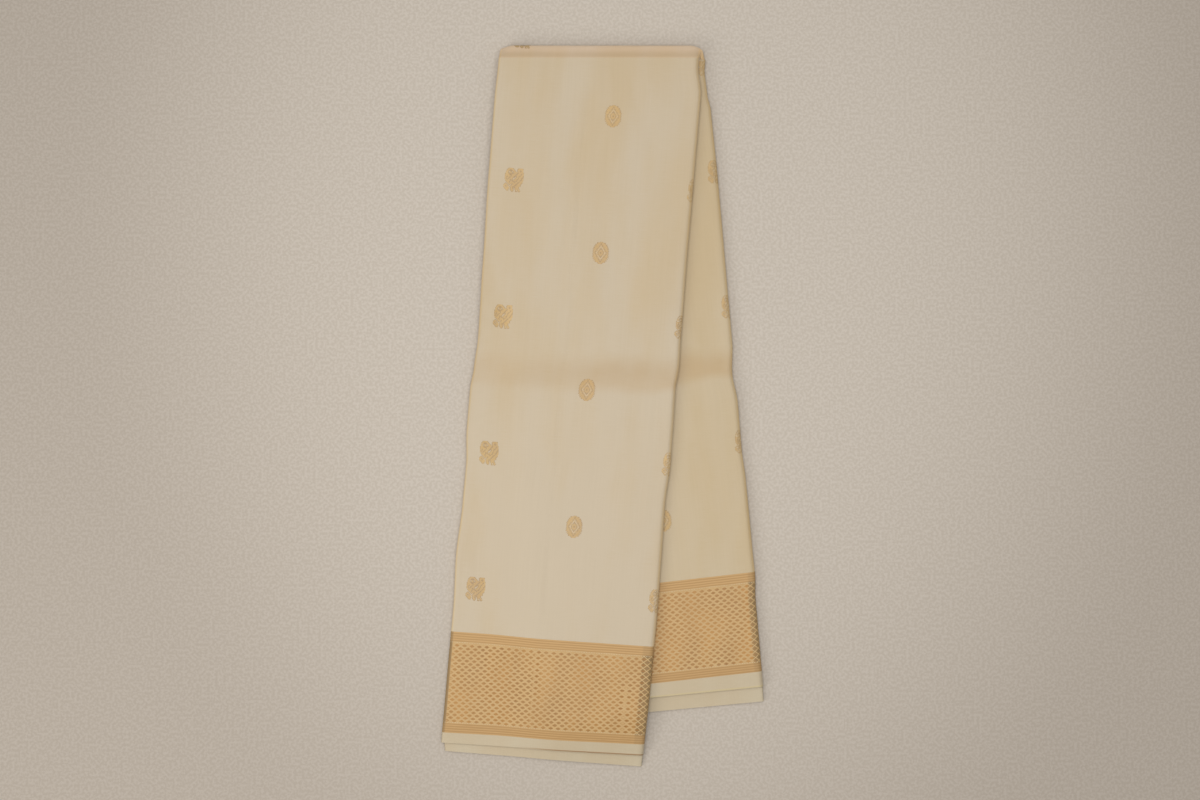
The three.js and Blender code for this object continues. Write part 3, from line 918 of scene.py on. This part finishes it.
# Gold #, its darker lines +, bare cloth .
birdChart = """
.....+#####+......+#####+.
....+#######+....+#######.
...+###+++###+...+###+###.
...###+++++###+..+##+++##.
..+##+.+#+.+###+.+###+###.
..###+.###+.+#####+######+
..###+++##+++####++####+##
.+####+++++#####++####++##
.+#####+++#####++#####+###
.########+####++####++###+
.+##+####+###++++##++####+
.##++##++###+++.+##+####++
.+#+##++####+..+###+###++#
.##+#++####+..+###+####+##
.+#+#+##++#+.+###++###++##
..##+###++++#####+###++###
..+#####+##+++##++###+###.
...+###++####+++###++####.
....+##+######+###++####+.
..++.+##+##+#####++####+..
.+##+.+###++####++####+...
+####+.++.+####++#####+...
##++##+..+####++######+...
##+.+##.+###+++#####+.....
+##+####.+##+#++####+.....
.+######.+##++.+####+.....
..+####+.+###+.+##+##+....
...+##+..+###+..+#.+##....
....+#+...+##+..+#.+##+...
...........++...+++.++....
""".split()


def ovalChart(columns=22, rows=28):
    # a serrated oval of gold with thin lozenge rings, dark, bare and dark again
    chart = []
    for row in range(rows):
        y = abs((row + 0.5) / rows * 2 - 1)
        reach = math.sqrt(max(0.0, 1 - y * y)) + (0.05 if row % 2 else -0.05)
        line = ""
        for column in range(columns):
            x = abs((column + 0.5) / columns * 2 - 1)
            ring = x / 0.78 + y / 0.86
            mark = "#"
            if x > reach - 0.10 or 0.88 < ring < 1.02 or 0.42 < ring < 0.56 or ring < 0.14:
                mark = "+"
            if x > reach or 0.62 < ring < 0.72:
                mark = "."
            line += mark
        chart.append(line)
    return chart


class FigureTree(Nodes):  # a geometry tree with named inputs
    def __init__(self, name, inputs):
        self.tree = bpy.data.node_groups.new(name, "GeometryNodeTree")
        self.inputs = {}
        newSocket = self.tree.interface.new_socket
        for way in ("INPUT", "OUTPUT"):
            newSocket("Geometry", in_out=way, socket_type="NodeSocketGeometry")
        for kind, labels in inputs.items():
            for label in labels:
                socket = newSocket(label, in_out="INPUT", socket_type="NodeSocket" + kind)
                self.inputs[label] = socket.identifier
        entry = self.tree.nodes.new("NodeGroupInput")
        self.given = {socket.name: Value(self, socket) for socket in entry.outputs}

    def finish(self, geometry):
        output = self.tree.nodes.new("NodeGroupOutput")
        self.tree.links.new(geometry.socket, output.inputs["Geometry"])


lengthInputs = ("First across", "First along", "Pitch across", "Pitch along", "Row lean", "Unevenness")


def figuresOnCloth():
    tree = FigureTree("figuresOnCloth", {
        "Object": ("Cloth", "Figure"), "Material": ("Finish",),
        "Int": ("Columns", "Rows", "Seed"), "Float": ("Row shift", *lengthInputs),
    })
    given, node, asVector = tree.given, tree.node, {"data_type": "FLOAT_VECTOR"}
    index = node("GeometryNodeInputIndex")
    row = index.math("MODULO", given["Rows"])
    column = (index / given["Rows"]).math("FLOOR") + row.math("MODULO", 2.0) * given["Row shift"]
    x = given["First across"] + given["Pitch across"] * column + row * given["Row lean"]
    y = row * given["Pitch along"] * -1.0 - given["First along"]
    place = node("ShaderNodeCombineXYZ", {"X": x, "Y": y})
    spots = node("GeometryNodePoints", {"Count": given["Columns"] * given["Rows"], "Position": place})
    ways = {"Min": (-1, -1, 0), "Max": (1, 1, 0), "Seed": given["Seed"]}
    stray = node("FunctionNodeRandomValue", ways, **asVector)
    stray = tree.vector("SCALE", {0: stray, "Scale": given["Unevenness"]})
    spots = node("GeometryNodeSetPosition", {"Geometry": spots, "Offset": stray})
    figure = node("GeometryNodeObjectInfo", {"Object": given["Figure"]}, "Geometry")
    laid = node("GeometryNodeInstanceOnPoints", {"Points": spots, "Instance": figure})
    laid = node("GeometryNodeRealizeInstances", {"Geometry": laid})

    # lay it on the cloth by the map, each point raised along the cloth's own normal
    flat = node("GeometryNodeInputPosition")
    cloth = node("GeometryNodeObjectInfo", {"Object": given["Cloth"]}, "Geometry")
    clothMap = node("GeometryNodeInputNamedAttribute", {"Name": "clothMap"}, "Attribute", **asVector)
    place, normal = (node("GeometryNodeSampleUVSurface", {
        "Mesh": cloth, "Value": value, "UV Map": clothMap, "Sample UV": flat,
    }, "Value", **asVector) for value in (flat, node("GeometryNodeInputNormal")))
    lift = tree.vector("SCALE", {0: normal, "Scale": tree.split(flat)[2]})
    onCloth = tree.vector("ADD", {0: place, 1: lift})

    # a thread that runs off the cloth is left out whole
    missed = node("FunctionNodeBooleanMath", {0: place.beside("Is Valid")}, operation="NOT")
    thread = node("GeometryNodeInputMeshIsland", None, "Island Index")
    counted = {"Value": missed, "Group ID": thread}
    misses = node("GeometryNodeAccumulateField", counted, "Total", data_type="INT")
    astray = misses.math("GREATER_THAN", 0.5)
    kept = node("GeometryNodeDeleteGeometry", {"Geometry": laid, "Selection": astray})
    kept = node("GeometryNodeSetPosition", {"Geometry": kept, "Position": onCloth})
    kept = node("GeometryNodeRealizeInstances", {"Geometry": kept})
    tree.finish(node("GeometryNodeSetMaterial", {"Geometry": kept, "Material": given["Finish"]}))
    return tree


figureTree = figuresOnCloth()


def layFigures(name, cloth, figure, finish, **values):  # lengths are in millimetres
    holder = placed(name, bpy.data.meshes.new(name + "Holder"))
    modifier = holder.modifiers.new("figures", "NODES")
    modifier.node_group = figureTree.tree
    settings = {"Cloth": cloth, "Figure": figure, "Finish": finish, "Seed": 7}
    settings |= {"Row shift": 0.0, "Row lean": 0.0, "Unevenness": 0.0, **values}
    for label, value in settings.items():
        modifier[figureTree.inputs[label]] = value * mm if label in lengthInputs else value
    mesh = bpy.data.meshes.new_from_object(holder.evaluated_get(bpy.context.evaluated_depsgraph_get()))
    holder.modifiers.remove(modifier)
    holder.data = mesh
    mesh.name = name
    print(name, len(mesh.polygons), "faces")
    return holder


def joined(name, *objects):  # one object of several, each keeping its own finish
    whole = bmesh.new()
    mesh = bpy.data.meshes.new(name)
    for slot, obj in enumerate(objects):
        before = len(whole.faces)
        whole.from_mesh(obj.data)
        whole.faces.ensure_lookup_table()
        for face in whole.faces[before:]:
            face.material_index = slot
        mesh.materials.append(obj.data.materials[0])
        bpy.data.objects.remove(obj)
    whole.to_mesh(mesh)
    whole.free()
    return placed(name, mesh)


def buttaFigures(name, chart):  # its gold, and its darker lines
    marks = (("#", "Gold", buttaThread), ("+", "Edge", buttaEdge))
    return [motifFrom(name + part, chartRuns(chart, mark), finish, butta["raise"], butta["step"])
            for mark, part, finish in marks]


bird, oval = buttaFigures("bird", birdChart), buttaFigures("oval", ovalChart())
lozenge = motifFrom("lozenge", lozengeRuns(), goldThread, lattice["raise"], lattice["oneStep"])
tick = motifFrom("tick", [lattice["tick"]], paleThread, lattice["tickRaise"], lattice["oneStep"])

buttaInputs = ("First across", "First along", "Pitch across", "Pitch along", "Row lean", "Columns", "Rows")
buttaRows = {  # (figure, then the inputs named above)
    "front": [
        (bird, 22.2, 124.6, 100, 119.2, -1.3, 1, 4),
        (bird, 180.5, 121.4, 100, 119.2, -1.3, 1, 4),
        (bird, 20.0, -2.5, 100, 100, 0, 1, 1),  # mostly round the cross fold
        (oval, 103.1, 62.4, 100, 119.3, -1.3, 1, 4),
    ],
    "back": [
        (bird, 15.8, 118.9, 160.5, 118.6, 1.5, 2, 3),
        (bird, 178.5, 24.4, 100, 100, 0, 1, 1),
        (oval, 98.0, 63.9, 100, 118.0, 1.3, 1, 4),
    ],
}


def layButtas(name, cloth, rows):
    laid = []
    for n, (figures, *numbers) in enumerate(rows):
        values = {"Unevenness": 0.3, **dict(zip(buttaInputs, numbers))}
        for figure in figures:
            finish = figure.data.materials[0]
            laid.append(layFigures(f"{name}{n}{figure.name}", cloth, figure, finish, **values))
    return joined(name, *laid)


def layLattice(name, cloth, columnSets):  # (first column, columns, finish)
    pitch, tickLine = lattice["pitchAcross"], lattice["bandDepth"] + lattice["tickOff"]
    laid = []
    for n, (firstColumn, columns, finish) in enumerate(columnSets):
        laid.append(layFigures(f"{name}Dots{n}", cloth, lozenge, finish, **{
            "Columns": columns, "Rows": lattice["rows"], "Row shift": 0.5, "Unevenness": 0.08,
            "Pitch across": pitch, "Pitch along": lattice["pitchAlong"] / 2,
            "First across": firstColumn * pitch, "First along": lattice["first"],
        }))
    first, count = columnSets[0][0], sum(columns for _, columns, _ in columnSets)
    for n, depth in enumerate((tickLine, lattice["depth"] - tickLine)):  # three ticks to a column
        laid.append(layFigures(f"{name}Ticks{n}", cloth, tick, paleThread, **{
            "Columns": count * 3 - 2, "Rows": 1, "Pitch across": pitch / 3, "Pitch along": 1,
            "First across": first * pitch, "First along": depth,
        }))
    return joined(name, *laid)


frontButtas = layButtas("frontButtas", frontSilk, buttaRows["front"])
backButtas = layButtas("backButtas", backSilk, buttaRows["back"])
frontColumns = [(0, 1, darkThread), (1, 25, goldThread), (26, 2, darkThread)]
frontLattice = layLattice("frontLattice", frontBorder, frontColumns)
backLattice = layLattice("backLattice", backBorder, [(1, 26, goldThread), (27, 1, darkThread)])
for pattern in (*bird, *oval, lozenge, tick):
    bpy.data.objects.remove(pattern)
print("woven figures laid")


# Floor, lights and camera

floorLook = {
    "pale": rgb(0.525, 0.472, 0.408), "shade": rgb(0.800, 0.785, 0.775), "speck": rgb(0.905, 0.895, 0.878),
    "grain": 420.0,
    "brightest": (0.04, 0.19),  # in metres; from there it darkens, more so along x
    "side": 1700.0,
}


def floorFinish():
    finish = Finish("floorSheet", Roughness=0.9)
    place = finish.objectPlace()
    x, y, _ = finish.split(place)
    grain = finish.noise(place, floorLook["grain"])
    awayX, awayY = x - floorLook["brightest"][0], y - floorLook["brightest"][1]
    away = awayX * awayX * 1.9 + awayY * awayY
    tone = finish.tinted(floorLook["pale"], floorLook["speck"], 1 - finish.between(grain, 0.40, 0.62))
    tone = finish.tinted(tone, floorLook["shade"], finish.between(away, 0.02, 0.52))
    finish.feed("Base Color", tone)
    finish.bump(grain, 0.0003)
    return finish.material


side = floorLook["side"]
floorCorners = [(-side, -side, 0), (side, -side, 0), (side, side, 0), (-side, side, 0)]
floor = buildMesh("floor", floorCorners, [(0, 1, 2, 3)], floorFinish())

lights = {  # where it is, where it aims, size, power, colour
    "overhead": ((-0.02, 0.10, 1.72), (0.0, 0.05, 0.0), 1.30, 23, (1.0, 0.99, 0.98)),
    "lowLeft": ((-1.15, -0.85, 1.10), (0.0, 0.0, 0.0), 1.0, 9, (1.0, 0.98, 0.95)),
}
for name, (at, aim, size, power, colour) in lights.items():
    lamp = bpy.data.lights.new(name, "AREA")
    lamp.shape, lamp.size, lamp.energy, lamp.color = "DISK", size, power, colour
    x, y, z = (a - b for a, b in zip(at, aim))
    holder = placed(name, lamp)
    holder.location = at
    holder.rotation_euler = (math.atan2(math.hypot(x, y), z), 0, math.atan2(x, -y))

room = bpy.data.worlds.new("room")
room.use_nodes = True
background = room.node_tree.nodes["Background"].inputs
background["Color"].default_value = rgb(1.0, 0.985, 0.965)
background["Strength"].default_value = 0.31
scene.world = room
scene.view_settings.view_transform = "Standard"

shot = {"over": (-0.0024, 0.00425), "height": 1.464, "lens": 50, "sensor": 36}
camera = placed("camera", bpy.data.cameras.new("camera"))
camera.data.lens, camera.data.sensor_width = shot["lens"], shot["sensor"]
camera.location = (*shot["over"], shot["height"])
scene.camera = camera
print("floor, lights and camera set")


# What each piece stands for, and the cloth it is cut from

leastFlat = 10.0  # a sheet is declared at least this long; the front selvedge is 9.5 mm


def cut(leg, start, end, extra=0):  # across the section, and from one line of the leg to another
    across, a, b = coverSection(0, leg is front)[2], leg[start], leg[end]
    along = ((b[0] - a[0]) + (b[1] - a[1])) / 2 / math.cos(math.radians(leg["lean"])) + extra
    return (float(across[-1] - across[0]) * mm, max(leastFlat, along) * mm)


frontCut = cut(front, "straightStart", "borderTop", float(turnArc(cloth["turnEnd"])))
sheets = [  # piece, the nodes it stands for, slot, flat size, figures woven on it
    (frontSilk, ("front_field", "fold_turn"), "silk", frontCut, [frontButtas]),
    (frontBorder, ("front_border",), "zari_border", cut(front, "borderTop", "borderEnd"), [frontLattice]),
    (frontSelvedge, ("front_selvedge",), "silk_edge", cut(front, "borderEnd", "hem"), []),
    (frontLowerHem, ("front_lower_hem",), "silk_edge", frontLowerCut, []),
    (backSilk, ("back_field",), "silk", cut(back, "straightStart", "borderTop"), [backButtas]),
    (backBorder, ("back_border",), "zari_border", cut(back, "borderTop", "borderEnd"), [backLattice]),
    (backSelvedge, ("back_selvedge",), "silk_edge", cut(back, "borderEnd", "hem"), []),
    (backLowerHem, ("back_lower_hem",), "silk_edge", backLowerCut, []),
    (frontLayers, ("inner_layers",), "inner_silk", frontLayersCut, []),
    (backLayers, ("inner_layers",), "inner_silk", backLayersCut, []),
]
under = {frontLayers: [backLayers], backLayers: []}
for piece, nodes, slotName, flat, figures in sheets:
    for obj in (piece, *figures):
        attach(obj, "root")
        "zari_border" if obj in figures else slotName
    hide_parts(*nodes)
    rests = under.get(piece, [frontLayers if piece.name.startswith("front") else backLayers])
    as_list(rests)
    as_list(figures)
